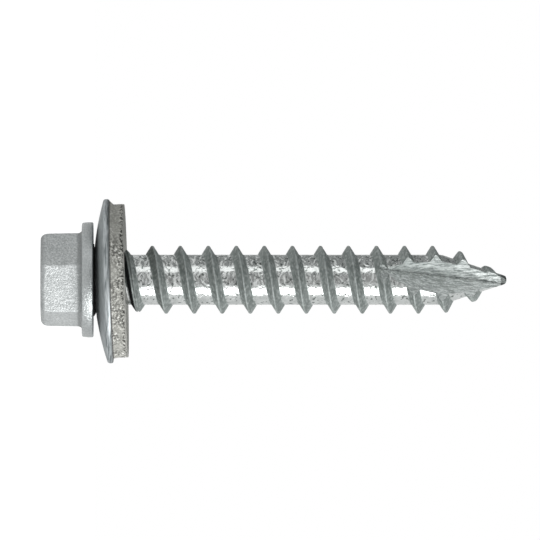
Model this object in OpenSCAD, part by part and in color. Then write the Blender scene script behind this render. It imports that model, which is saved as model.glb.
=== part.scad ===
// Self-tapping timber screw with a hex flange head and a captive bonded sealing washer.
// It stands on its hex head: the axis is Z, the end of the head is z = 0 and the point is up.
// Angles about Z count from +X towards +Y.

/* [Hex head] */
// Wrench size across the flats of the hex
hex_af = 8; // [7:0.5:10]
// Height of the hex above its flange
hex_h = 4.1; // [3:0.1:6]
// How far inside the flats the end chamfer starts
hex_bevel = 0.2; // [0.1:0.05:0.9]
// Angle of the end chamfer to the end face
hex_bevel_angle = 35; // [20:1:45]
// Radius of the fillet between the hex and its flange
hex_fillet = 0.42; // [0.25:0.01:0.6]
// Turn of the hex about the axis
hex_turn = 12; // [0:1:59]

/* [Flange] */
// How far the flange stands out past the corners of the hex
flange_rim = 0.98; // [0.8:0.02:2]
// Thickness of the flange
flange_t = 1.02; // [0.8:0.02:2]
// Rounding of the two edges of the flange
flange_round = 0.15; // [0.06:0.01:0.3]

/* [Neck and thread] */
// Length from the underside of the flange to the tip
length = 40.1; // [30:0.1:80]
// Diameter of the plain neck that carries the washer
neck_d = 4.2; // [3.6:0.1:4.6]
// Fillet between the neck and the flange
neck_fillet = 0.25; // [0.1:0.05:0.35]
// Neck left bare between the gasket and the start of the thread
neck_bare = 0.45; // [0.35:0.05:3]
// Diameter at the root of the thread
root_d = 4.88; // [4.8:0.02:5.4]
// Diameter over the crest of the thread
thread_d = 6.6; // [6.2:0.05:7.6]
// Advance of the right-hand thread in one turn
pitch = 2.72; // [2.3:0.02:3.4]
// Width of the thread ridge at its base
ridge_w = 1.22; // [1:0.02:1.5]
// Width of the thread ridge at its crest
crest_w = 0.34; // [0.2:0.02:0.5]
// Fillet along both sides of the thread ridge
ridge_fillet = 0.13; // [0.06:0.01:0.18]
// Angle about the axis where the crest leaves the neck
thread_angle = 127; // [0:1:359]
// Share of the ridge height that the rolling dies fill at the start
start_fill = 0.48; // [0.2:0.02:0.8]
// Turns of thread before the ridge reaches its full height
fill_turns = 1.15; // [0.5:0.05:3]
// Steepness of the step between neck and thread
start_angle = 50; // [40:1:60]
// Lean of that step across the axis
start_lean = 8; // [0:1:15]

/* [Point] */
// Length of the cone that the root of the thread runs down
point_len = 6.3; // [5:0.1:8]
// Radius of the blunt tip
tip_r = 0.44; // [0.1:0.02:0.5]
// Distance from the tip to where the crest starts to fall
crest_run = 6.6; // [5:0.1:9]
// Distance from the tip to the deep end of the cutting notch
notch_len = 9.8; // [8:0.1:12]
// Distance from the tip to where the floor of the notch runs level
notch_level = 1.7; // [1:0.1:3]
// Depth of the floor past the axis where it runs level
notch_past = 0.075; // [0:0.005:0.15]
// Radius of the long sweep of the notch floor
notch_sweep = 27; // [22:0.5:40]
// Radius of the short run-in at the back of the notch
notch_run_in = 2.6; // [2.2:0.1:4]
// Angle between the two walls of the notch
notch_angle = 94; // [80:1:110]
// Slant of the notch across the axis
notch_slant = 7; // [0:0.5:12]

/* [Metal washer] */
// Outer diameter of the metal washer
washer_d = 16; // [14.5:0.5:22]
// Thickness of its sheet
washer_t = 0.54; // [0.44:0.02:1]
// Diameter of its hole
washer_hole_d = 6.8; // [6:0.1:7.4]
// Radius of its dome
dome_r = 27; // [20:0.2:60]
// Play between the flange and the top of the dome
washer_play = 0.22; // [0.2:0.02:0.6]
// Lean of the washer and its gasket on the neck, lower on the -X side
washer_lean = 1.5; // [0:0.1:1.6]
// Lean across that, lower on the -Y side
washer_tip = 0.8; // [0:0.1:1]
// How far the washer sits off the axis, towards +X
washer_offset = 0.15; // [0:0.05:0.3]

/* [Gasket] */
// Thickness of the rubber
gasket_t = 1.5; // [1:0.1:3]
// How far the metal stands out past the rubber
gasket_inset = 0.5; // [0.2:0.05:1]
// Clearance of the rubber round the neck
gasket_play = 0.09; // [0.06:0.01:0.1]

/* [Hidden] */

round_steps = 96;     // faces round a full circle
turn_steps = 32;      // steps along one turn of the thread
overlap = 0.1;        // how far joined forms reach into each other

// Hex and flange
hex_corner_r = hex_af / 2 / cos(30);
flange_r = hex_corner_r + flange_rim;
seat_z = hex_h + flange_t;
tip_z = seat_z + length;

// Washer stack, measured on the axis of the dome
neck_r = neck_d / 2;
washer_hole_r = washer_hole_d / 2;
gasket_hole_r = neck_r + gasket_play;
dome_top_z = seat_z + washer_play - (dome_r - sqrt(dome_r * dome_r - washer_hole_r * washer_hole_r));
dome_centre_z = dome_top_z + dome_r;
under_metal_r = dome_r - washer_t;
under_gasket_r = under_metal_r - gasket_t;
gasket_end_z = dome_centre_z - sqrt(under_gasket_r * under_gasket_r - gasket_hole_r * gasket_hole_r);
washer_pivot_z = (dome_top_z + gasket_end_z) / 2;

// Thread
root_r = root_d / 2;
thread_r = thread_d / 2;
ridge_h = thread_r - root_r;
flank_slope = ridge_h / ((ridge_w - crest_w) / 2);
crest_round = 0.05;   // how far the middle of a crest stands over its edges
fill_curve = 1.2;     // above 1, the ridge fills fast at first
crest_curve = 1.6;    // above 1, the crest falls slowly at first
thread_z = gasket_end_z + neck_bare;
first_turn = -1.2;    // the helix starts inside the neck, this many turns before thread_z
first_z = thread_z + first_turn * pitch;
steps = ceil(((tip_z - first_z + ridge_w) / pitch + 1) * turn_steps);
cone_z = tip_z - point_len;
crest_z = tip_z - crest_run;
cap_z = tip_z - 0.6 * tip_r;

// Share of the full ridge height at a crest height z, as the dies fill it
function fill(z) =
    1 - (1 - start_fill) * pow(1 - min(1, max(0, (z - thread_z) / (fill_turns * pitch))), fill_curve);

// Radius of the root, a cylinder and then the cone of the point
function root_at(z) =
    z < cone_z ? root_r : root_r - (root_r - tip_r) * min(1, (z - cone_z) / (cap_z - cone_z));

// Radius of the crest, which falls to the tip in a soft curve
function crest_at(z) =
    let (u = min(1, max(0, (z - crest_z) / crest_run)))
    (root_r + ridge_h * fill(z)) * (1 - pow(u, crest_curve));

// Leaning cone that lifts the surface from the neck at the start of the thread
function run_in_at(a, z) =
    let (over_z = z - thread_z - neck_r * cos(a) * tan(start_lean))
    max(neck_r / 4, neck_r + over_z * tan(start_angle - start_lean * cos(a)));

// Profile of one pitch at a crest height z: [offset along the axis, height over the root]
function ridge_profile(z) =
    let (
        h = max(0.02, crest_at(z) - root_at(z)),
        top = crest_w / 2 + (1 - fill(z)) * ridge_h / flank_slope,
        base = top + h / flank_slope,
        soft = min(crest_round, h / 4),
        foot = min(ridge_fillet * 0.4, h / 4)
    )
    [
        [-base - ridge_fillet, 0], [-base, foot], [-top, h - soft], [0, h],
        [top, h - soft], [base, foot], [base + ridge_fillet, 0]
    ];
profile_n = 7;

// One point of the thread surface: step i along the helix, point j of the profile
function thread_point(i, j) =
    let (
        a = thread_angle + 360 * (i / turn_steps + first_turn),
        crest = first_z + pitch * i / turn_steps,
        p = ridge_profile(crest)[j],
        z = crest + p[0],
        r = min(root_at(z) + p[1], run_in_at(a, z))
    )
    [r * cos(a), r * sin(a), z];

// Number of a grid point. Point profile_n of a step is point 0 of the next turn
function grid(i, j) = j < profile_n ? i * profile_n + j : (i + turn_steps) * profile_n + j - profile_n;

// Solid root and ridge as one closed skin. All points past cap_z meet in the tip
module threaded_core() {
    skin = [for (i = [0:steps]) for (j = [0:profile_n - 1]) thread_point(i, j)];
    tip = len(skin);
    start = tip + 1;
    points = concat(skin, [[0, 0, tip_z], [0, 0, first_z + pitch / 2]]);
    index = [for (k = [0:tip - 1]) skin[k][2] > cap_z ? tip : k];
    cells = [
        for (i = [0:steps - 1]) for (j = [0:profile_n - 1])
            if (j < profile_n - 1 || i + 1 + turn_steps <= steps)
                let (a = index[grid(i, j)], b = index[grid(i + 1, j)],
                     c = index[grid(i + 1, j + 1)], d = index[grid(i, j + 1)])
                each [[a, c, b], [a, d, c]]
    ];
    side = [for (f = cells) if (f[0] != f[1] && f[1] != f[2] && f[2] != f[0]) f];
    rim = concat([for (i = [0:turn_steps]) grid(i, 0)], [for (j = [profile_n - 1:-1:0]) grid(0, j)]);
    cap = [for (k = [0:len(rim) - 2]) if (rim[k] != rim[k + 1]) [start, rim[k], rim[k + 1]]];
    polyhedron(points = points, faces = concat(side, cap), convexity = 20);
}

// Concave skirt that blends the six flats into the flange, lofted from hex rings
module hex_skirt() {
    arc = [for (a = [20:18:74]) [hex_fillet * (1 - cos(a)), hex_fillet * (sin(a) - 1)]];
    rings = concat([[-overlap, -hex_fillet - overlap]], arc, [[hex_fillet * 0.85, overlap]]);
    n = len(rings);
    points = [
        for (ring = rings) for (k = [0:5])
            let (r = (hex_af / 2 + ring[0]) / cos(30))
            [r * cos(60 * k), r * sin(60 * k), hex_h + ring[1]]
    ];
    side = [
        for (m = [0:n - 2]) for (k = [0:5])
            let (a = m * 6 + k, b = m * 6 + (k + 1) % 6)
            each [[a, b + 6, b], [a, a + 6, b + 6]]
    ];
    polyhedron(
        points = points,
        faces = concat(side, [[0, 1, 2, 3, 4, 5], [for (k = [5:-1:0]) (n - 1) * 6 + k]])
    );
}

// Hex of the wrench size, its end chamfered by a cone
module hex_body() {
    chamfer_r = hex_af / 2 - hex_bevel;
    chamfer_h = (flange_r - chamfer_r) * tan(hex_bevel_angle);
    rotate([0, 0, hex_turn]) {
        intersection() {
            cylinder(r = hex_corner_r, h = hex_h + overlap, $fn = 6);
            union() {
                cylinder(r1 = chamfer_r, r2 = flange_r, h = chamfer_h, $fn = round_steps);
                translate([0, 0, chamfer_h]) cylinder(r = flange_r, h = hex_h, $fn = round_steps);
            }
        }
        hex_skirt();
    }
}

// Round flange with rounded edges, and the neck below it with its fillet
module flange_and_neck() {
    in_r = flange_r - flange_round;
    rim = concat(
        [for (a = [-90:30:0]) [in_r + flange_round * cos(a), hex_h + flange_round * (1 + sin(a))]],
        [for (a = [0:30:90]) [in_r + flange_round * cos(a), seat_z - flange_round * (1 - sin(a))]]
    );
    fillet = [
        for (a = [0:30:90])
            [neck_r + neck_fillet * (1 - sin(a)), seat_z + neck_fillet * (1 - cos(a))]
    ];
    rotate_extrude($fn = round_steps)
        polygon(concat([[0, hex_h]], rim, fillet, [[neck_r, thread_z + 1], [0, thread_z + 1]]));
}

// Floor of the cutting notch, [y, z] from its back to past the tip: a short round run-in,
// then a long sweep that ends level
function notch_floor() =
    let (
        level_z = tip_z - notch_level,
        deep_z = tip_z - notch_len,
        turn = asin((level_z - deep_z) / notch_sweep),
        sweep_y = notch_past - notch_sweep,
        deep_y = sweep_y + notch_sweep * cos(turn),
        run_y = deep_y - notch_run_in * cos(turn),
        run_z = deep_z + notch_run_in * sin(turn),
        open = acos(max(-0.9, (-thread_r - overlap - run_y) / notch_run_in))
    )
    concat(
        [for (k = [0:5]) let (a = open + (turn - open) * k / 5)
            [run_y + notch_run_in * cos(a), run_z - notch_run_in * sin(a)]],
        [for (k = [1:6]) let (a = turn * (1 - k / 6))
            [sweep_y + notch_sweep * cos(a), level_z - notch_sweep * sin(a)]],
        [[notch_past, tip_z + 1]]
    );

// Cutting notch: a V lofted along its floor, open towards -Y
module notch() {
    path = notch_floor();
    n = len(path);
    far_y = -thread_r - 1;
    points = [
        for (p = path)
            let (half = (p[0] - far_y) * tan(notch_angle / 2))
            each [[0, p[0], p[1]], [-half, far_y, p[1]], [half, far_y, p[1]]]
    ];
    side = [
        for (m = [0:n - 2]) for (k = [0:2])
            let (a = m * 3 + k, b = m * 3 + (k + 1) % 3)
            each [[a, b + 3, b], [a, a + 3, b + 3]]
    ];
    slant_z = tip_z - point_len / 2;
    translate([0, 0, slant_z]) rotate([0, notch_slant, 0]) translate([0, 0, -slant_z])
        polyhedron(points = points, faces = concat(side, [[0, 1, 2], [n * 3 - 1, n * 3 - 2, n * 3 - 3]]));
}

// Forged and thread-rolled steel screw, one piece from head to point
module screw() {
    color([0.70, 0.73, 0.72]) {
        hex_body();
        flange_and_neck();
        difference() {
            threaded_core();
            notch();
        }
    }
}

// Places the washer stack as it leans on the neck
module on_neck() {
    translate([0, 0, washer_pivot_z]) rotate([washer_tip, -washer_lean, 0])
        translate([0, 0, -washer_pivot_z]) children();
}

// Shell between two spheres of the dome, cut to a ring whose hole is at hole_x
module dome_ring(outer_r, inner_r, rim_r, hole_r, hole_x) {
    low_z = seat_z - 1;
    ring_h = dome_centre_z - low_z;
    intersection() {
        translate([washer_offset, 0, dome_centre_z]) difference() {
            sphere(r = outer_r, $fn = round_steps);
            sphere(r = inner_r, $fn = round_steps);
        }
        translate([0, 0, low_z]) difference() {
            translate([washer_offset, 0, 0]) cylinder(r = rim_r, h = ring_h, $fn = round_steps);
            translate([hole_x, 0, -1]) cylinder(r = hole_r, h = ring_h + 2, $fn = round_steps);
        }
    }
}

// Domed sheet-metal washer under the flange
module metal_washer() {
    color([0.62, 0.65, 0.65]) on_neck()
        dome_ring(dome_r, under_metal_r, washer_d / 2, washer_hole_r, washer_offset);
}

// Rubber disc bonded to the hollow side of the metal washer. Its own hole hugs the neck
module gasket() {
    color([0.50, 0.50, 0.47]) on_neck()
        dome_ring(under_metal_r, under_gasket_r, washer_d / 2 - gasket_inset, gasket_hole_r, 0);
}

screw();
metal_washer();
gasket();
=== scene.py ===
import math
import random

import bmesh
import bpy
from mathutils import Matrix, Vector, noise


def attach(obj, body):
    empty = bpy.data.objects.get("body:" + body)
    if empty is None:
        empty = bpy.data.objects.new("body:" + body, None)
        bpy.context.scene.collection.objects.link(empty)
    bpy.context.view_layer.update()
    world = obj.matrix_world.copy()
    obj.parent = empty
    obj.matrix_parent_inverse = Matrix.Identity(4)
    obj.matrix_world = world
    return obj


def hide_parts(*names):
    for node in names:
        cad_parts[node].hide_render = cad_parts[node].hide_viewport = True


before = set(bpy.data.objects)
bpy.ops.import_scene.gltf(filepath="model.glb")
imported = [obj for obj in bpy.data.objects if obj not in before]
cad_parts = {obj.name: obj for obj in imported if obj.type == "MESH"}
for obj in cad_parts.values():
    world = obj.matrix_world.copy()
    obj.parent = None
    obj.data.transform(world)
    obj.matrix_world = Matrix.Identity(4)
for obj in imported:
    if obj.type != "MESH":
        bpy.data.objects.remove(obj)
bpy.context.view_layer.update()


# Head of the screw
# Hex for an 8 mm socket with a round flange on it, cold forged in one piece with the shank. Its
# zinc coat is matt and sandy. Sizes are in millimetres, and a finished mesh is scaled to metres.

hex_flats = 8.06
hex_height = 4.1
hex_turn = math.radians(12)
hex_draft = 0.012
draft_bend_z = 1.0
draft_bend_share = 0.25
hex_corner_round = 0.08
hex_flat_edge = 0.40
hex_corner_edge = 0.70
hex_fillet = 0.50
flange_radius = 5.6
flange_low_z = 3.99
flange_thick = 1.02
flange_crown = ((0.3, 0), (0.14, 0.03), (0.06, 0.10), (0.035, 0.22), (0, 0.62))
flange_seat_round = 0.14
flange_overlap = 0.2
neck_radius = 2.1
neck_fillet = 0.25
seat_z = hex_height + flange_thick
thread_z = 7.711
neck_end_z = thread_z + 1
forging_steps = 144

sand_dark = (0.43, 0.45, 0.45, 1)
sand_pale = (0.67, 0.69, 0.69, 1)
sand_cloud = (0.42, 0.44, 0.44, 1)
# fillet_shade is painted shade in the fillet under the flange.
fillet_shade = (0.13, 0.14, 0.14, 1)
fillet_shade_in = (3.45, 3.75)
fillet_shade_out = (4.02, 3.97)
# end_edge_shade is painted shade round the end edge of the hex.
end_edge_shade = (0.20, 0.21, 0.21, 1)
end_edge_band = (0.50, 0.24)
flange_grey = (0.29, 0.31, 0.31, 1)
flange_band = (flange_low_z - 0.02, flange_low_z + 0.02)


def merged(bm):
    """Closes the seams and poles of a shape and points its faces outwards."""
    bmesh.ops.remove_doubles(bm, verts=bm.verts, dist=1e-4)
    bmesh.ops.recalc_face_normals(bm, faces=bm.faces)
    return bm


def arc(centre_r, centre_z, radius, start, end, steps):
    """Points of a round edge, as radius and height, from one angle to another in degrees."""
    turns = [math.radians(start + (end - start) * k / steps) for k in range(steps + 1)]
    return [(centre_r + radius * math.cos(t), centre_z + radius * math.sin(t)) for t in turns]


def revolved(outline, steps, closed=False):
    """Spins an outline of radius and height a full turn about the axis."""
    bm = bmesh.new()
    row = [bm.verts.new((r, 0, z)) for r, z in outline]
    pairs = list(zip(row, row[1:])) + ([(row[-1], row[0])] if closed else [])
    line = [bm.edges.new(pair) for pair in pairs]
    bmesh.ops.spin(
        bm, geom=row + line, cent=(0, 0, 0), axis=(0, 0, 1), angle=2 * math.pi, steps=steps, use_merge=True
    )
    return merged(bm)


def extruded_ring(bm, ring, scale=1, rise=0, out_y=0):
    """Extrudes a closed ring of edges, scales it about the axis, and moves it up and along Y."""
    made = bmesh.ops.extrude_edge_only(bm, edges=ring)["geom"]
    verts = [g for g in made if isinstance(g, bmesh.types.BMVert)]
    bmesh.ops.scale(bm, verts=verts, vec=(scale, scale, 1))
    bmesh.ops.translate(bm, verts=verts, vec=(0, out_y, rise))
    return [g for g in made if isinstance(g, bmesh.types.BMEdge)]


def round_off_end(verts, outline_radius, turn):
    """Puts a ring of the end edge in place. The edge is rounder at the corners than on the flats."""
    t = math.radians(turn)
    flat_r, corner_r = hex_flats / 2, hex_flats / math.sqrt(3)
    for v in verts:
        r = v[outline_radius]
        edge = hex_flat_edge + (hex_corner_edge - hex_flat_edge) * (r - flat_r) / (corner_r - flat_r)
        v.co.xy = v.co.xy.normalized() * (r - edge * (1 - math.sin(t)))
        v.co.z = edge * (1 - math.cos(t))


def hex_shape():
    """Hex prism with a soft end edge and a hollow skirt that runs into the flange."""
    bm = bmesh.new()
    bmesh.ops.create_circle(bm, segments=6, radius=hex_flats / math.sqrt(3), cap_ends=True)
    bmesh.ops.rotate(bm, verts=bm.verts, matrix=Matrix.Rotation(hex_turn - math.pi / 6, 3, "Z"))
    bmesh.ops.bevel(
        bm, geom=bm.verts[:], offset=hex_corner_round, segments=4, affect="VERTICES",
        profile=0.5, material=-1
    )
    bmesh.ops.delete(bm, geom=bm.faces[:], context="FACES_ONLY")
    flats = [e for e in bm.edges if e.calc_length() > 1]
    bmesh.ops.subdivide_edges(bm, edges=flats, cuts=12)
    bmesh.ops.scale(bm, verts=bm.verts, vec=(1 - hex_draft, 1 - hex_draft, 1))
    outline_radius = bm.verts.layers.float.new("outline_radius")
    for v in bm.verts:
        v[outline_radius] = v.co.xy.length
    ring = bm.edges[:]
    end_verts = bm.verts[:]
    round_off_end(end_verts, outline_radius, 0)
    bmesh.ops.contextual_create(bm, geom=end_verts)
    for turn in range(15, 91, 15):
        ring = extruded_ring(bm, ring)
        round_off_end({v for e in ring for v in e.verts}, outline_radius, turn)
    ring = extruded_ring(bm, ring, 1 + hex_draft * draft_bend_share)
    for v in {v for e in ring for v in e.verts}:
        v.co.z = draft_bend_z
    rest_of_draft = 1 / (1 - hex_draft * (1 - draft_bend_share))
    ring = extruded_ring(bm, ring, rest_of_draft, hex_height - hex_fillet - draft_bend_z)
    last_r, last_z = 0, 0
    for turn in range(10, 91, 10):
        out_r = hex_fillet * (1 - math.cos(math.radians(turn)))
        out_z = hex_fillet * math.sin(math.radians(turn))
        grow = (hex_flats / 2 + out_r) / (hex_flats / 2 + last_r)
        ring = extruded_ring(bm, ring, grow, out_z - last_z)
        last_r, last_z = out_r, out_z
    extruded_ring(bm, ring, rise=flange_overlap)
    top = {v for e in bm.edges if e.is_boundary for v in e.verts}
    bmesh.ops.contextual_create(bm, geom=list(top))
    return merged(bm)


def flange_shape():
    """Round flange with a crowned rim and a rounded seat edge, and the plain neck with its fillet."""
    outline = [(0, flange_low_z)]
    outline += [(flange_radius - inset, flange_low_z + rise) for inset, rise in flange_crown]
    edge_r, edge_z = flange_radius - flange_seat_round, seat_z - flange_seat_round
    outline += arc(edge_r, edge_z, flange_seat_round, 0, 90, 5)
    outline += arc(neck_radius + neck_fillet, seat_z + neck_fillet, neck_fillet, 270, 180, 5)
    outline += [(neck_radius, thread_z - 0.3), (neck_radius, neck_end_z), (0, neck_end_z)]
    return revolved(outline, forging_steps)


def added(tree, kind, inputs=None, **settings):
    """Adds a node. An input that is given a socket is linked, and any other is set."""
    made = tree.nodes.new("ShaderNode" + kind)
    for name, value in settings.items():
        setattr(made, name, value)
    for name, value in (inputs or {}).items():
        if isinstance(value, bpy.types.NodeSocket):
            tree.links.new(value, made.inputs[name])
        else:
            made.inputs[name].default_value = value
    return made


def math_of(tree, operation, first, second=0.0):
    """Result of one sum."""
    return added(tree, "Math", {0: first, 1: second}, operation=operation).outputs[0]


def times(tree, first, second):
    """Product of two values, such as a mask and its share."""
    return math_of(tree, "MULTIPLY", first, second)


def ramp(tree, value, low, high, out_low=0.0, out_high=1.0):
    """Turns a value between low and high into a soft step."""
    inputs = {"Value": value, "From Min": low, "From Max": high, "To Min": out_low, "To Max": out_high}
    return added(tree, "MapRange", inputs, interpolation_type="SMOOTHSTEP").outputs[0]


def blend_of(tree, share, first, second):
    """Mix of two colours."""
    made = added(tree, "Mix", data_type="RGBA")
    for socket, value in ((made.inputs[0], share), (made.inputs[6], first), (made.inputs[7], second)):
        if isinstance(value, bpy.types.NodeSocket):
            tree.links.new(value, socket)
        else:
            socket.default_value = value
    return made.outputs[2]


def new_material(name):
    """Empty material with its node tree, its shader and the place on the piece in millimetres."""
    material = bpy.data.materials.new(name)
    material.use_nodes = True
    tree = material.node_tree
    place = tree.nodes.new("ShaderNodeTexCoord")
    millimetres = added(tree, "Mapping", {"Vector": place.outputs["Object"], "Scale": (1000, 1000, 1000)})
    return material, tree, tree.nodes["Principled BSDF"], millimetres.outputs[0]


def grain_group():
    """Node group of the random grain that every finish uses: its height, and where it is high."""
    tree = bpy.data.node_groups.new("grain", "ShaderNodeTree")
    tree.interface.new_socket("Place", in_out="INPUT", socket_type="NodeSocketVector")
    for name in ("Per millimetre", "Detail", "Roughness", "Swirl", "Low", "High"):
        tree.interface.new_socket(name, in_out="INPUT", socket_type="NodeSocketFloat")
    tree.interface.new_socket("Height", in_out="OUTPUT", socket_type="NodeSocketFloat")
    tree.interface.new_socket("Mask", in_out="OUTPUT", socket_type="NodeSocketFloat")
    given = tree.nodes.new("NodeGroupInput").outputs
    height = added(tree, "TexNoise", {
        "Vector": given["Place"], "Scale": given["Per millimetre"], "Detail": given["Detail"],
        "Roughness": given["Roughness"], "Distortion": given["Swirl"],
    }).outputs[0]
    result = tree.nodes.new("NodeGroupOutput")
    tree.links.new(height, result.inputs["Height"])
    tree.links.new(ramp(tree, height, given["Low"], given["High"]), result.inputs["Mask"])
    return tree


grain_nodes = grain_group()


def grain(tree, place, per_mm, low=0.3, high=0.7, detail=2.0, roughness=0.5, swirl=0.0):
    """Places the grain group in a material. Its mask goes from 0 at a low height to 1 at a high one."""
    made = tree.nodes.new("ShaderNodeGroup")
    made.node_tree = grain_nodes
    tree.links.new(place, made.inputs["Place"])
    values = {"Per millimetre": per_mm, "Low": low, "High": high, "Detail": detail, "Roughness": roughness}
    for name, value in {**values, "Swirl": swirl}.items():
        made.inputs[name].default_value = value
    return made.outputs


def bumped(tree, shader, height, depth_mm, strength):
    """Lets a height shape the surface's light and shade."""
    bump = added(tree, "Bump", {"Height": height, "Distance": depth_mm / 1000, "Strength": strength})
    tree.links.new(bump.outputs[0], shader.inputs["Normal"])


def head_coat():
    """Sandy zinc coat, with painted shade in the fillet and round the end edge, and smoother on the flange.
    """
    material, tree, shader, place = new_material("head_coat")
    sand = grain(tree, place, 5.4, low=0.36, high=0.64, detail=3.0, roughness=0.6)
    cloud = grain(tree, place, 0.8)
    tone = blend_of(tree, sand["Mask"], sand_dark, sand_pale)
    tone = blend_of(tree, times(tree, cloud["Mask"], 0.4), tone, sand_cloud)
    height = added(tree, "SeparateXYZ", {0: place}).outputs[2]
    # Painted shade in the fillet under the flange.
    fillet = times(tree, ramp(tree, height, *fillet_shade_in), ramp(tree, height, *fillet_shade_out))
    tone = blend_of(tree, times(tree, fillet, 0.6), tone, fillet_shade)
    # Painted shade round the end edge.
    end_edge = times(tree, ramp(tree, height, *end_edge_band), 0.35)
    tone = blend_of(tree, end_edge, tone, end_edge_shade)
    on_flange = ramp(tree, height, *flange_band)
    tone = blend_of(tree, times(tree, on_flange, 0.5), tone, flange_grey)
    tree.links.new(tone, shader.inputs["Base Color"])
    rough = ramp(tree, sand["Height"], 0.3, 0.7, 0.44, 0.52)
    rough = math_of(tree, "SUBTRACT", rough, times(tree, on_flange, 0.15))
    tree.links.new(rough, shader.inputs["Roughness"])
    shader.inputs["Metallic"].default_value = 1.0
    level = ramp(tree, height, *flange_band, 1.0, 0.75)
    bumped(tree, shader, times(tree, sand["Height"], level), 0.085, 0.8)
    return material


# Thread of the screw
# Coarse right-hand thread, rolled onto the shank. The dies don't fill its first turn, so the crest
# is wide and low there, with a lap along its middle. Root and crest both run down into the point.
# The zinc coat is glossy and mottled in the root, and dull and dark on the ridges.

tip_z = 45.22
thread_pitch = 2.72
root_radius = 2.44
ridge_height = 0.86
least_ridge = 0.02
crest_width = 0.26
crest_crown = 0.05
crest_round = 0.07
flank_slope = 1.955
ridge_fillet = 0.06
foot_margin = 0.05
foot_station = -4
lap_depth = 0.5
crest_angle = math.radians(127)
start_fill = 0.48
fill_turns = 1.15
fill_curve = 1.2
start_angle = math.radians(50)
start_lean = math.radians(8)
cone_z = tip_z - 6.3
crest_fall_z = tip_z - 6.6
crest_fall_curve = 1.6
cap_z = 44.956
tip_radius = 0.44
point_smear = 0.45
turns_before = 1.2
turns_past = 1.3
steps_per_turn = 96

root_dark = (0.50, 0.52, 0.51, 1)
root_pale = (0.66, 0.68, 0.67, 1)
root_pit = (0.20, 0.22, 0.21, 1)
ridge_dark = (0.255, 0.28, 0.27, 1)
ridge_pale = (0.35, 0.38, 0.37, 1)
zinc_fleck = (0.44, 0.47, 0.46, 1)
# The crests are painted lighter, as wear and as a painted highlight along their rounded tops.
rubbed_and_lit_crest = (0.38, 0.41, 0.40, 1)
rub_highlight_reach = 0.3
rub_highlight_depth = 0.2
cover_z = seat_z + 2
# shaded_flank and shaded_gloss are painted shade: the first turn's flank beside the rubber is coloured
# black and its reflections dimmed.
shaded_flank = (0.03, 0.033, 0.033, 1)
shaded_along = (-0.52, -0.12)
shaded_turns = (-0.3, 0.72)
shaded_fade = 0.15
# The neck just before the thread has a painted highlight, on its side towards the camera and the key
# softbox.
neck_painted_highlight = (0.95, 0.96, 0.96, 1)
neck_highlight_x = (0.7, 2.0)
neck_highlight_top_z = thread_z + 1.1
neck_highlight_along = -0.46
ridge_gloss = (0.65, 0.65, 0.65, 1)
shaded_gloss = (0.2, 0.2, 0.2, 1)
# tip_shade is painted shade at the blunt tip.
tip_shade = (0.17, 0.185, 0.18, 1)
tip_band = (tip_z - 0.62, tip_z - 0.46)


def clamped(value):
    """A value kept between 0 and 1."""
    return min(1, max(0, value))


def fill(z):
    """Share of the full ridge height that the dies fill at a crest height."""
    left = 1 - clamped((z - thread_z) / (fill_turns * thread_pitch))
    return 1 - (1 - start_fill) * left ** fill_curve


def point_share(z):
    """How far a height is along the fall of the crest, from 0 at its start to 1 at the tip."""
    return clamped((z - crest_fall_z) / (tip_z - crest_fall_z))


def root_at(z):
    """Radius of the root, a cylinder, then the cone of the point and its blunt round end."""
    if z > cap_z:
        over = clamped((z - cap_z) / (tip_z - cap_z))
        return tip_radius * math.sqrt(1 - over * over)
    return root_radius - (root_radius - tip_radius) * clamped((z - cone_z) / (cap_z - cone_z))


def crest_at(z):
    """Radius of the crest, which falls to the tip in a soft curve."""
    return (root_radius + ridge_height * fill(z)) * (1 - point_share(z) ** crest_fall_curve)


def run_in_at(angle, z):
    """Leaning cone that lifts the surface out of the neck at the start of the thread."""
    over_z = z - thread_z - neck_radius * math.cos(angle) * math.tan(start_lean)
    return max(neck_radius / 4, neck_radius + over_z * math.tan(start_angle - start_lean * math.cos(angle)))


def ridge_side(z):
    """One side of the ridge, from the middle of its crest to the middle of the root."""
    h = max(least_ridge, crest_at(z) - root_at(z))
    open_ridge = 1 - fill(z)
    top = crest_width / 2 + open_ridge * ridge_height / flank_slope + point_smear * point_share(z) ** 2
    base = top + h / flank_slope
    soft = min(crest_round, h / 4)
    foot = min(ridge_fillet * 0.4, h / 4)
    lap = min(h * 0.5, lap_depth * open_ridge)
    half = thread_pitch / 2
    return [
        (0, h - lap),
        (top * 0.3, h - lap * 0.8 - crest_crown * 0.09),
        (top * 0.55, h - crest_crown * 0.3),
        (top * 0.85, h - crest_crown * 0.72 - soft * 0.35),
        (top + soft * 0.35, h - crest_crown - soft * 1.4),
        (base - (base - top) * 0.55, foot + (h - foot) * 0.50),
        (base, foot),
        (base + ridge_fillet * 0.45, foot * 0.35),
        (base + ridge_fillet, 0),
        (base + ridge_fillet + foot_margin, 0),
        ((base + ridge_fillet + half) / 2, 0),
        (half, 0),
    ]


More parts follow.
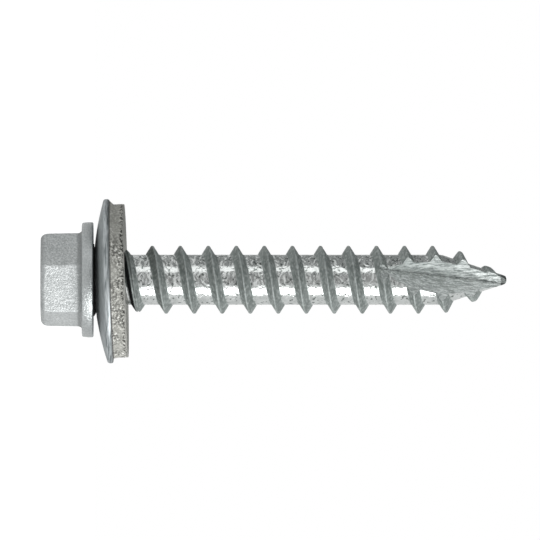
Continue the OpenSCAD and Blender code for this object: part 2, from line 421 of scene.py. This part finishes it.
def thread_shape():
    """Spins one pitch of the ridge up the axis, then draws each point onto the real thread."""
    first_z = thread_z - turns_before * thread_pitch
    total = math.ceil(((tip_z - first_z) / thread_pitch + turns_past) * steps_per_turn)
    side = ridge_side(thread_z + 4 * thread_pitch)
    last = len(side) - 1
    start_turn = Matrix.Rotation(crest_angle - 2 * math.pi * turns_before, 3, "Z")
    bm = bmesh.new()
    station = bm.verts.layers.int.new("station")
    row = []
    for k in range(-last, last + 1):
        along, height = side[abs(k)]
        z = first_z + math.copysign(along, k)
        row.append(bm.verts.new(start_turn @ Vector((root_radius + height, 0, z))))
        row[-1][station] = k
    line = [bm.edges.new(pair) for pair in zip(row, row[1:])]
    bmesh.ops.spin(
        bm, geom=row + line, cent=(0, 0, 0), axis=(0, 0, 1), dvec=(0, 0, thread_pitch / steps_per_turn),
        angle=2 * math.pi * total / steps_per_turn, steps=total
    )
    for v in bm.verts:
        k = v[station]
        crest_z = v.co.z - math.copysign(side[abs(k)][0], k)
        angle = math.atan2(v.co.y, v.co.x)
        along, height = ridge_side(crest_z)[abs(k)]
        z = crest_z + math.copysign(along, k)
        r = min(root_at(z) + height, run_in_at(angle, z))
        if z >= tip_z:
            r, z = 0, tip_z
        elif z > cap_z:
            r = root_at(z)
        v.co = (r * math.cos(angle), r * math.sin(angle), z)
    bmesh.ops.remove_doubles(bm, verts=bm.verts, dist=1e-3)
    rim = [e for e in bm.edges if e.is_boundary]
    bmesh.ops.holes_fill(bm, edges=rim, sides=0)
    return merged(bm)


def thread_coat():
    """Zinc coat of the thread: glossy and mottled in the root, dull and dark on the ridges.

    The first turn's flank beside the rubber is black, as painted shade, and the neck before it has a
    painted highlight. The crests are lighter, as wear and a painted highlight, and the tip has painted
    shade.
    """
    material, tree, shader, place = new_material("thread_coat")
    tip = ramp(tree, added(tree, "SeparateXYZ", {0: place}).outputs[2], *tip_band)
    ridge = added(tree, "Attribute", attribute_name="ridge").outputs["Fac"]
    worms = grain(tree, place, 1.3, detail=0.8, swirl=1.3)
    pits = grain(tree, place, 3.4, low=0.3, high=0.55, detail=0.6, roughness=0.6)
    cloud = grain(tree, place, 1.1, low=0.3, high=0.7, detail=3.0, roughness=0.6)
    bright = blend_of(tree, cloud["Mask"], root_dark, root_pale)
    bright = blend_of(tree, ramp(tree, pits["Height"], 0.40, 0.31), bright, root_pit)
    dull = blend_of(tree, cloud["Mask"], ridge_dark, ridge_pale)
    dull = blend_of(tree, ramp(tree, pits["Height"], 0.50, 0.64), dull, zinc_fleck)
    # Lighter crests: wear and a painted highlight.
    rub_and_highlight = added(tree, "Attribute", attribute_name="crest_rub_and_highlight").outputs["Fac"]
    rub_and_highlight = times(tree, ramp(tree, rub_and_highlight, 0.78, 0.95), pits["Mask"])
    # Painted shade on the first turn's flank beside the rubber.
    shaded = added(tree, "Attribute", attribute_name="first_flank").outputs["Fac"]
    tone = blend_of(tree, ridge, bright, dull)
    tone = blend_of(tree, rub_and_highlight, tone, rubbed_and_lit_crest)
    tone = blend_of(tree, shaded, tone, shaded_flank)
    # Painted highlight on the neck.
    neck_highlight_share = added(tree, "Attribute", attribute_name="neck_highlight_mark").outputs["Fac"]
    tone = blend_of(tree, neck_highlight_share, tone, neck_painted_highlight)
    # Painted shade at the tip.
    tone = blend_of(tree, tip, tone, tip_shade)
    tree.links.new(tone, shader.inputs["Base Color"])
    gloss = blend_of(tree, ridge, (1, 1, 1, 1), ridge_gloss)
    gloss = blend_of(tree, shaded, gloss, shaded_gloss)
    tree.links.new(gloss, shader.inputs["Specular Tint"])
    rough = ramp(tree, cloud["Height"], 0.35, 0.65, 0.13, 0.21)
    rough = math_of(tree, "ADD", rough, times(tree, ridge, 0.55))
    tree.links.new(rough, shader.inputs["Roughness"])
    shader.inputs["Metallic"].default_value = 1.0
    height = math_of(tree, "ADD", worms["Height"], times(tree, pits["Height"], 0.22))
    bumped(tree, shader, height, 0.085, 0.6)
    return material


def mark_thread(mesh):
    """Stores which points are on a ridge, on its crest of wear and painted highlight,
    or at the start on the flank of painted shade and the neck's painted highlight.
    """
    names = ("ridge", "crest_rub_and_highlight", "first_flank", "neck_highlight_mark")
    for name in names:
        mesh.attributes.new(name, "FLOAT", "POINT")
    marks = [mesh.attributes[name].data for name in names]
    for v, raised, rub_and_highlight, shaded, neck_highlight_value in zip(mesh.vertices, *marks):
        turn = (math.atan2(v.co.y, v.co.x) - crest_angle) / (2 * math.pi)
        crest = (v.co.z - thread_z) / thread_pitch - turn
        along = (crest - round(crest)) * thread_pitch
        turns_run = turn + round(crest)
        # Crest points get the mark for wear and painted highlight.
        near = v.co.z > thread_z and v.co.xy.length > crest_at(v.co.z) - rub_highlight_depth
        rub_and_highlight.value = max(0, 1 - abs(along) / rub_highlight_reach) if near else 0
        foot = ridge_side(v.co.z - along)[foot_station][0]
        raised.value = clamped(1 + (foot - abs(along)) / foot_margin)
        # Marks the first turn's flank beside the rubber for painted shade.
        on_flank = v.co.z > cover_z and shaded_along[0] < along < shaded_along[1]
        past = (shaded_turns[1] - turns_run) / shaded_fade
        shaded.value = clamped(past) if on_flank and turns_run > shaded_turns[0] else 0
        # Marks the patch of the neck that gets a painted highlight.
        on_neck = v.co.y < 0 and neck_highlight_x[0] < v.co.x < neck_highlight_x[1]
        open_neck = on_neck and cover_z < v.co.z < neck_highlight_top_z and along < neck_highlight_along
        neck_highlight_value.value = 1 if open_neck else 0


# Cutting notch of the point
# A V that is pressed and sheared into the end of the shank after rolling. It breaks the last ridges
# and leaves torn marks along both of its walls, which are coated with the rest of the screw.

notch_length = 9.8
notch_level = 1.7
notch_past = 0.075
notch_sweep = 27.0
notch_sweep_steps = 12
notch_run_in = 7.0
notch_run_in_steps = 9
notch_start_y = -3.4
notch_half_angle = math.radians(47)
notch_slant = math.radians(7)
notch_pivot_z = tip_z - 3.15
notch_depth = 3.9
mark_spacing = 0.15
mark_depth = 0.016

# The two walls are the same torn steel in two tones: the lower wall is painted paler and the upper wall
# darker, as painted light and shade.
upper_wall_dark = (0.17, 0.19, 0.185, 1)
upper_wall_pale = (0.50, 0.53, 0.52, 1)
lower_wall_dark = (0.42, 0.45, 0.44, 1)
lower_wall_pale = (0.90, 0.93, 0.92, 1)
# Painted light: the streaks of the notch are painted paler towards the tip.
tipward_painted_light = (0.88, 0.91, 0.90, 1)
tipward_light_band = (tip_z - 6, tip_z - 3)
# valley_shade is painted shade along the valley of the notch.
valley_shade = (0.16, 0.175, 0.17, 1)
streak_stretch = (6, 6, 0.9)


def notch_floor():
    """Line of the notch floor in y and z: a short round run-in and a long sweep that ends level."""
    level_z, deep_z = tip_z - notch_level, tip_z - notch_length
    turn = math.asin((level_z - deep_z) / notch_sweep)
    sweep_y = notch_past - notch_sweep
    run_y = sweep_y + (notch_sweep - notch_run_in) * math.cos(turn)
    run_z = deep_z + notch_run_in * math.sin(turn)
    start = math.acos((notch_start_y - run_y) / notch_run_in)
    line = []
    for k in range(notch_run_in_steps + 1):
        t = start + (turn - start) * k / notch_run_in_steps
        line.append((run_y + notch_run_in * math.cos(t), run_z - notch_run_in * math.sin(t)))
    for k in range(1, notch_sweep_steps + 1):
        t = turn * (1 - k / notch_sweep_steps)
        line.append((sweep_y + notch_sweep * math.cos(t), level_z - notch_sweep * math.sin(t)))
    return line + [(notch_past, tip_z + 1)]


def notch_shape():
    """Sweeps a V with torn walls along the notch floor."""
    marks = random.Random(11)
    path = notch_floor()
    wall = []
    count = int(notch_depth / math.cos(notch_half_angle) / mark_spacing)
    for k in range(1, count + 1):
        d = k * mark_spacing
        out = marks.uniform(-mark_depth, mark_depth)
        wall.append((
            d * math.sin(notch_half_angle) + out * math.cos(notch_half_angle),
            -d * math.cos(notch_half_angle) + out * math.sin(notch_half_angle),
        ))
    other = [(-x, y + marks.uniform(-mark_depth, mark_depth)) for x, y in wall]
    section = other[::-1] + [(0, 0)] + wall
    bm = bmesh.new()
    y0, z0 = path[0]
    row = [bm.verts.new((x, y + y0, z0)) for x, y in section]
    ring = [bm.edges.new(pair) for pair in zip(row, row[1:] + row[:1])]
    bmesh.ops.contextual_create(bm, geom=row)
    for (y, z), (next_y, next_z) in zip(path, path[1:]):
        ring = extruded_ring(bm, ring, 1, next_z - z, next_y - y)
    bmesh.ops.contextual_create(bm, geom=list({v for e in ring for v in e.verts}))
    pivot = Vector((0, 0, notch_pivot_z))
    bmesh.ops.rotate(bm, cent=pivot, verts=bm.verts, matrix=Matrix.Rotation(notch_slant, 3, "Y"))
    return merged(bm)


def notch_steel():
    """Torn walls of the notch: streaks along it, painted light and shade on its two walls, streaks
    painted paler towards the tip, and painted shade in its valley and at the tip.
    """
    material, tree, shader, place = new_material("notch_steel")
    lengthwise = {"Vector": place, "Scale": streak_stretch, "Rotation": (0, notch_slant, 0)}
    drawn = added(tree, "Mapping", lengthwise).outputs[0]
    streaks = grain(tree, drawn, 1.0, low=0.42, high=0.60, detail=4.0, roughness=0.75)
    chips = grain(tree, place, 3.4, low=0.38, high=0.62, detail=3.0, roughness=0.65)
    upper = blend_of(tree, streaks["Mask"], upper_wall_dark, upper_wall_pale)
    lower = blend_of(tree, streaks["Mask"], lower_wall_dark, lower_wall_pale)
    axes = added(tree, "SeparateXYZ", {0: place}).outputs
    over_pivot = math_of(tree, "SUBTRACT", axes[2], notch_pivot_z)
    slide = times(tree, over_pivot, math.tan(notch_slant))
    side = math_of(tree, "SUBTRACT", axes[0], slide)
    # Painted light and shade: the lower wall is paler than the upper one.
    tone = blend_of(tree, ramp(tree, side, -0.10, 0.12), upper, lower)
    tone = blend_of(tree, times(tree, chips["Mask"], 0.4), tone, zinc_fleck)
    # Painted light: streaks paler towards the tip.
    tipward_light_share = times(tree, streaks["Mask"], ramp(tree, axes[2], *tipward_light_band, 0.0, 0.6))
    tone = blend_of(tree, tipward_light_share, tone, tipward_painted_light)
    # Painted shade along the valley of the notch, with a ragged edge.
    wobble = times(tree, math_of(tree, "SUBTRACT", chips["Height"], 0.5), 0.7)
    off_valley = math_of(tree, "ABSOLUTE", math_of(tree, "ADD", side, wobble))
    valley = times(tree, ramp(tree, off_valley, 0.13, 0.02), 0.5)
    tone = blend_of(tree, valley, tone, valley_shade)
    # Painted shade at the tip.
    tone = blend_of(tree, ramp(tree, axes[2], *tip_band), tone, tip_shade)
    tree.links.new(tone, shader.inputs["Base Color"])
    shader.inputs["Roughness"].default_value = 0.5
    shader.inputs["Metallic"].default_value = 1.0
    height = math_of(tree, "ADD", streaks["Height"], times(tree, chips["Height"], 0.8))
    bumped(tree, shader, height, 0.09, 0.9)
    return material


# Screw, put together
# One piece of steel. The notch is cut out of the threaded shank, and flange, hex and shank are
# joined into one closed mesh, which keeps a material for each zone of the coat.


def as_object(bm, name, material):
    """Puts a shape into the scene as an object of one material."""
    mesh = bpy.data.meshes.new(name)
    bm.to_mesh(mesh)
    bm.free()
    mesh.materials.append(material)
    made = bpy.data.objects.new(name, mesh)
    bpy.context.scene.collection.objects.link(made)
    return made


def combined(body, tool, operation):
    """Joins a second solid to the first, or cuts it away, and leaves one closed mesh."""
    step = body.modifiers.new("combine", "BOOLEAN")
    step.operation = operation
    step.solver = "EXACT"
    step.object = tool
    step.material_mode = "TRANSFER"
    shown = body.evaluated_get(bpy.context.evaluated_depsgraph_get())
    body.data = bpy.data.meshes.new_from_object(shown)
    body.modifiers.clear()
    bpy.data.objects.remove(tool)
    return body


def place_in_frame(piece, body, nodes, sharp=32):
    """Scales a finished piece to metres, shades it and gives it to its body in the frame."""
    bm = bmesh.new()
    bm.from_mesh(piece.data)
    bmesh.ops.remove_doubles(bm, verts=bm.verts, dist=5e-4)
    bmesh.ops.transform(bm, verts=bm.verts, matrix=Matrix.Scale(0.001, 4))
    bm.to_mesh(piece.data)
    bm.free()
    piece.data.polygons.foreach_set("use_smooth", [True] * len(piece.data.polygons))
    piece.data.set_sharp_from_angle(angle=math.radians(sharp))
    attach(piece, body)
    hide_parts(*nodes)


coat = head_coat()
threaded = as_object(thread_shape(), "shank", thread_coat())
threaded = combined(threaded, as_object(notch_shape(), "notch", notch_steel()), "DIFFERENCE")
screw = as_object(flange_shape(), "screw_steel_part", coat)
screw = combined(screw, as_object(hex_shape(), "hex", coat), "UNION")
screw = combined(screw, threaded, "UNION")
mark_thread(screw.data)
place_in_frame(screw, "screw", ["screw"])


# Metal washer
# Domed disc of coated sheet steel, stamped, with its sheared edge rounded over. It is loose on the
# neck and leans on it a little.

dome_radius = 27.0
dome_centre_z = 32.125
dome_steps = 12
sheet_thick = 0.54
sheet_round = 0.14
washer_radius = 7.97
washer_hole = 3.4
hole_edge = 0.1
rim_inset = 0.05
lower_rim = (0.03, 0.12)
upper_rim = (0.14, 0.05)
washer_lean = math.radians(1.5)
washer_tip = math.radians(0.8)
washer_offset = 0.15
washer_pivot_z = 6.193

dome_dark = (0.33, 0.355, 0.36, 1)
dome_pale = (0.425, 0.455, 0.46, 1)
sheared_dark = (0.19, 0.21, 0.215, 1)
sheared_pale = (0.50, 0.53, 0.54, 1)
washer_gloss = (0.7, 0.7, 0.7, 1)


def dome_z(radius, r):
    """Height of a sphere of the dome at a distance from its axis."""
    return dome_centre_z - math.sqrt(radius * radius - r * r)


def dome_line(radius, start, end):
    """Points along a sphere of the dome, as radius and height, from one distance to another."""
    distances = [start + (end - start) * k / dome_steps for k in range(dome_steps + 1)]
    return [(r, dome_z(radius, r)) for r in distances]


def leaning(bm):
    """Leans a washer shape on the neck."""
    pivot = Vector((0, 0, washer_pivot_z))
    bmesh.ops.rotate(bm, cent=pivot, verts=bm.verts, matrix=Matrix.Rotation(-washer_lean, 3, "Y"))
    bmesh.ops.rotate(bm, cent=pivot, verts=bm.verts, matrix=Matrix.Rotation(washer_tip, 3, "X"))
    return bm


def metal_washer_shape():
    """Outline of the domed sheet, spun about the axis."""
    near, far = washer_hole + sheet_round, washer_radius - sheet_round
    rim_low = dome_z(dome_radius, washer_radius)
    rim_high = rim_low + sheet_thick
    hole_z = dome_z(dome_radius, washer_hole)
    outline = dome_line(dome_radius, near, far)
    inset = washer_radius - rim_inset
    outline += [(inset, rim_low + lower_rim[0]), (washer_radius, rim_low + lower_rim[1])]
    outline += [(washer_radius, rim_high - upper_rim[0]), (inset, rim_high - upper_rim[1])]
    outline += dome_line(dome_radius - sheet_thick, far, near)
    outline += [(washer_hole, hole_z + sheet_thick - hole_edge), (washer_hole, hole_z + hole_edge)]
    bm = revolved(outline, 192, closed=True)
    bmesh.ops.translate(bm, verts=bm.verts, vec=(washer_offset, 0, 0))
    return leaning(bm)


def washer_coat():
    """Smooth satin zinc coat of the sheet, streaked on its sheared edge."""
    material, tree, shader, place = new_material("washer_coat")
    cloud = grain(tree, place, 0.9, low=0.35, high=0.65, detail=3.0, roughness=0.55)
    drawn = added(tree, "Mapping", {"Vector": place, "Scale": (0.5, 0.5, 7)}).outputs[0]
    shear = grain(tree, drawn, 1.0, low=0.35, high=0.65, detail=3.0, roughness=0.6)
    sheared = blend_of(tree, shear["Mask"], sheared_dark, sheared_pale)
    axes = added(tree, "SeparateXYZ", {0: place}).outputs
    off_centre = math_of(tree, "SUBTRACT", axes[0], washer_offset)
    across = added(tree, "CombineXYZ", {0: off_centre, 1: axes[1]}).outputs[0]
    radius = added(tree, "VectorMath", {0: across}, operation="LENGTH").outputs["Value"]
    domed = blend_of(tree, cloud["Mask"], dome_dark, dome_pale)
    tone = blend_of(tree, ramp(tree, radius, washer_radius - 0.25, washer_radius - 0.05), domed, sheared)
    tree.links.new(tone, shader.inputs["Base Color"])
    tree.links.new(ramp(tree, cloud["Height"], 0.3, 0.7, 0.58, 0.48), shader.inputs["Roughness"])
    shader.inputs["Metallic"].default_value = 1.0
    shader.inputs["Specular Tint"].default_value = washer_gloss
    bumped(tree, shader, grain(tree, place, 6.0)["Height"], 0.012, 0.5)
    return material


metal_washer = as_object(metal_washer_shape(), "metal_washer_part", washer_coat())
place_in_frame(metal_washer, "washer", ["metal_washer"])


# Gasket
# Disc of grey rubber, bonded to the hollow side of the metal washer. A collar of it fills the washer's
# hole up to the flange, coloured black as painted shade in the gap there. Its outer edge is cut, which
# leaves it rough, with pale grains and painted glints, and a painted shadow runs along its joint with
# the metal.

gasket_thick = 1.5
gasket_radius = 7.47
gasket_hole = 2.19
gasket_edge_relief = 0.045
edge_margin = 0.04
cut_steps = 14
coarse_tear = 3.1
fine_tear = 7.3
fine_tear_share = 0.6
flash_width = 0.46
flash_height = 0.55
flash_even = 0.62
flash_lean = 0.38
collar_hole = 2.5
collar_waist = 3.2
collar_lip = 3.5
collar_face_z = seat_z + 0.01
collar_shade_z = (seat_z + 0.42, seat_z + 0.36)
lip_thick = 0.08
close_by = 1e-3

cut_dark = (0.12, 0.12, 0.11, 1)
cut_pale = (0.52, 0.52, 0.48, 1)
cut_smooth = (0.38, 0.38, 0.35, 1)
clean_side_x = (-3.0, -4.6)
# The white specks of the cut edge are pale grains and painted glints.
white_grain_and_glint = (0.95, 0.95, 0.92, 1)
skin_grey = (0.30, 0.30, 0.28, 1)
pore_black = (0.04, 0.04, 0.035, 1)
# A painted shadow runs along the joint of the rubber and the metal.
joint_painted_shadow = (0.05, 0.05, 0.05, 1)
# The collar is coloured black as painted shade in the gap under the flange.
collar_painted_shade = (0.004, 0.004, 0.004, 1)


def gasket_shape():
    """Outline of the rubber disc, spun about the axis, with a torn edge and a level collar."""
    outer = dome_radius - sheet_thick
    inner = outer - gasket_thick
    edge_r = gasket_radius - edge_margin
    lip_z = collar_face_z + lip_thick
    outline = [(gasket_hole, dome_z(outer, gasket_hole)), (collar_hole, dome_z(outer, collar_hole))]
    outline += [(collar_hole, collar_face_z), (collar_lip, collar_face_z)]
    outline += [(collar_lip, lip_z), (collar_waist, lip_z + lip_thick)]
    outline += dome_line(outer, collar_waist, edge_r)
    low, high = dome_z(outer, gasket_radius), dome_z(inner, gasket_radius)
    outline += [(gasket_radius, low + (high - low) * k / cut_steps) for k in range(cut_steps + 1)]
    outline += dome_line(inner, edge_r, gasket_hole)
    bm = revolved(outline, 288, closed=True)
    cut = bm.verts.layers.float.new("cut_edge")
    level = [v for v in bm.verts if v.co.z < collar_face_z + close_by]
    lip = [v for v in bm.verts if abs(v.co.z - lip_z) < close_by and v.co.xy.length > collar_waist + 0.1]
    for v in bm.verts:
        r = v.co.xy.length
        if r > gasket_radius - edge_margin / 2:
            v[cut] = (v.co.z - low) / (high - low) + 1
            torn = noise.noise(v.co * coarse_tear) + fine_tear_share * noise.noise(v.co * fine_tear)
            flash = flash_width * (flash_even - flash_lean * v.co.x / r)
            flash *= max(0, 1 - (v.co.z - low) / flash_height)
            v.co.xy *= 1 + (torn * gasket_edge_relief - gasket_edge_relief + flash) / r
            v.co.z = max(v.co.z, dome_z(outer, min(v.co.xy.length, washer_radius)))
        v.co.x += washer_offset * clamped((r - collar_lip) / (gasket_radius - collar_lip))
    leaning(bm)
    for v in level:
        v.co.z = collar_face_z
    for v in lip:
        v.co.z = lip_z
    return bm


def gasket_rubber():
    """Matt grey rubber with a smooth moulded skin and a collar coloured black as painted shade.

    The attribute cut_edge is 0 on the skin, and goes from 1 at the metal to 2 along the cut edge. A painted
    shadow runs along the joint with the metal, and the cut edge's white specks are pale grains and painted
    glints.
    """
    material, tree, shader, place = new_material("gasket_rubber")
    edge = added(tree, "Attribute", attribute_name="cut_edge").outputs["Fac"]
    grains = grain(tree, place, 4.3, low=0.42, high=0.59, detail=3.0, roughness=0.65)
    cloud = grain(tree, place, 0.55, low=0.42, high=0.62)
    rough_cut = blend_of(tree, grains["Mask"], cut_dark, cut_pale)
    # White specks: pale grains and painted glints.
    rough_cut = blend_of(tree, ramp(tree, grains["Height"], 0.60, 0.66), rough_cut, white_grain_and_glint)
    clean_side = ramp(tree, added(tree, "SeparateXYZ", {0: place}).outputs[0], *clean_side_x)
    smoother = times(tree, math_of(tree, "MAXIMUM", cloud["Mask"], clean_side), 0.65)
    rough_cut = blend_of(tree, smoother, rough_cut, cut_smooth)
    ragged = math_of(tree, "ADD", edge, times(tree, grain(tree, place, 1.4)["Height"], 0.3))
    torn = times(tree, ramp(tree, edge, 0.85, 0.98), ramp(tree, ragged, 2.06, 2.00))
    tone = blend_of(tree, torn, skin_grey, rough_cut)
    pores = times(tree, ramp(tree, ragged, 1.86, 1.95), ramp(tree, ragged, 2.11, 2.05))
    pores = times(tree, pores, ramp(tree, grains["Height"], 0.50, 0.45))
    tone = blend_of(tree, pores, tone, pore_black)
    # Painted shadow along the joint with the metal.
    joint = times(tree, ramp(tree, edge, 0.9, 1.0), ramp(tree, edge, 1.18, 1.11))
    tone = blend_of(tree, times(tree, joint, 0.8), tone, joint_painted_shadow)
    height = added(tree, "SeparateXYZ", {0: place}).outputs[2]
    # Painted shade: the collar in the gap under the flange is black.
    tone = blend_of(tree, ramp(tree, height, *collar_shade_z), tone, collar_painted_shade)
    tree.links.new(tone, shader.inputs["Base Color"])
    shader.inputs["Roughness"].default_value = 0.75
    bumped(tree, shader, grains["Height"], 0.09, 0.8)
    return material


gasket = as_object(gasket_shape(), "gasket_part", gasket_rubber())
place_in_frame(gasket, "washer", ["gasket"], sharp=50)


# Studio
# White floor and backdrop, a bright softbox on the right of the screw, a dim one on its left, and
# a camera that lies on its side, because the photograph shows the standing screw lying down.

white = (1, 1, 1, 1)
floor_size = 1.2
floor_board = (0.75, 0.75, 0.75, 1)
floor_shaded = (0.30, 0.30, 0.30, 1)
floor_glow = 0.93
floor_gleam = 0.6
room_left = (0.30, 0.31, 0.31, 1)
room_right = (0.86, 0.87, 0.87, 1)
room_front = (0.40, 0.40, 0.40, 1)
softbox_distance = 0.20
softbox_height = 0.20
softbox_low_z = 0.002
film_width = 36
image_width = 540
view_distance = 2.0
view_scale = 10.3
view_centre_x = -0.000947
view_centre_z = 0.022262


def backdrop_rays(tree):
    """The camera's rays, and the glossy or clear rays, which both see the white background."""
    path = tree.nodes.new("ShaderNodeLightPath").outputs
    seen = math_of(tree, "MAXIMUM", path["Is Glossy Ray"], path["Is Transmission Ray"])
    return path["Is Camera Ray"], seen


def studio_world():
    """White for the camera, and behind the screw in its reflections. A grey room elsewhere."""
    world = bpy.data.worlds.new("studio")
    world.use_nodes = True
    tree = world.node_tree
    camera_ray, other_ray = backdrop_rays(tree)
    towards = tree.nodes.new("ShaderNodeTexCoord").outputs["Generated"]
    axes = added(tree, "SeparateXYZ", {0: towards}).outputs
    behind = ramp(tree, axes[1], 0.92, 0.97)
    backdrop = math_of(tree, "MAXIMUM", camera_ray, times(tree, other_ray, behind))
    room = blend_of(tree, ramp(tree, axes[0], -0.8, 0.8), room_left, room_right)
    room = blend_of(tree, ramp(tree, axes[1], -0.86, -0.97), room, room_front)
    tone = blend_of(tree, backdrop, room, white)
    tree.links.new(tone, tree.nodes["Background"].inputs["Color"])
    bpy.context.scene.world = world


def floor_paint():
    """White floor that still takes the shadow of the screw. Metal shows it dimmer, as a satin board."""
    material = bpy.data.materials.new("floor_white")
    material.use_nodes = True
    tree = material.node_tree
    tree.nodes.remove(tree.nodes["Principled BSDF"])
    camera_ray, other_ray = backdrop_rays(tree)
    matt = added(tree, "BsdfDiffuse", {"Color": floor_board}).outputs[0]
    shaded = added(tree, "BsdfDiffuse", {"Color": floor_shaded}).outputs[0]
    glow = added(tree, "Emission", {"Color": white, "Strength": floor_glow}).outputs[0]
    seen = added(tree, "AddShader", {0: shaded, 1: glow}).outputs[0]
    share = math_of(tree, "MAXIMUM", camera_ray, times(tree, other_ray, floor_gleam))
    final = added(tree, "MixShader", {0: share, 1: matt, 2: seen}).outputs[0]
    tree.links.new(final, tree.nodes["Material Output"].inputs["Surface"])
    return material


def softbox(name, side_angle, width, radiance):
    """Upright lamp panel round the screw. 0 degrees is at the camera, and more is towards +X."""
    a = math.radians(side_angle)
    lamp = bpy.data.lights.new(name, "AREA")
    lamp.shape = "RECTANGLE"
    lamp.size, lamp.size_y = width, softbox_height
    lamp.energy = radiance * math.pi * width * softbox_height
    made = bpy.data.objects.new(name, lamp)
    bpy.context.scene.collection.objects.link(made)
    out = Vector((math.sin(a), -math.cos(a), 0))
    middle = out * softbox_distance + Vector((0, 0, softbox_low_z + softbox_height / 2))
    inwards = (-out).to_track_quat("-Z", "Y").to_matrix().to_4x4()
    made.matrix_world = Matrix.Translation(middle) @ inwards


bm = bmesh.new()
bmesh.ops.create_grid(bm, x_segments=1, y_segments=1, size=floor_size / 2)
as_object(bm, "floor", floor_paint())
studio_world()
softbox("key_softbox", side_angle=55.5, width=0.114, radiance=5.2)
softbox("fill_softbox", side_angle=-48, width=0.092, radiance=1.2)

camera = bpy.data.objects.new("camera", bpy.data.cameras.new("camera"))
bpy.context.scene.collection.objects.link(camera)
camera.data.sensor_width = film_width
camera.data.lens = film_width * view_scale * 1000 * view_distance / image_width
camera.data.clip_start = 0.01
camera.data.clip_end = 10
camera.matrix_world = Matrix((
    (0, -1, 0, view_centre_x),
    (0, 0, -1, -view_distance),
    (1, 0, 0, view_centre_z),
    (0, 0, 0, 1),
))
bpy.context.scene.camera = camera
bpy.context.scene.view_settings.view_transform = "Standard"
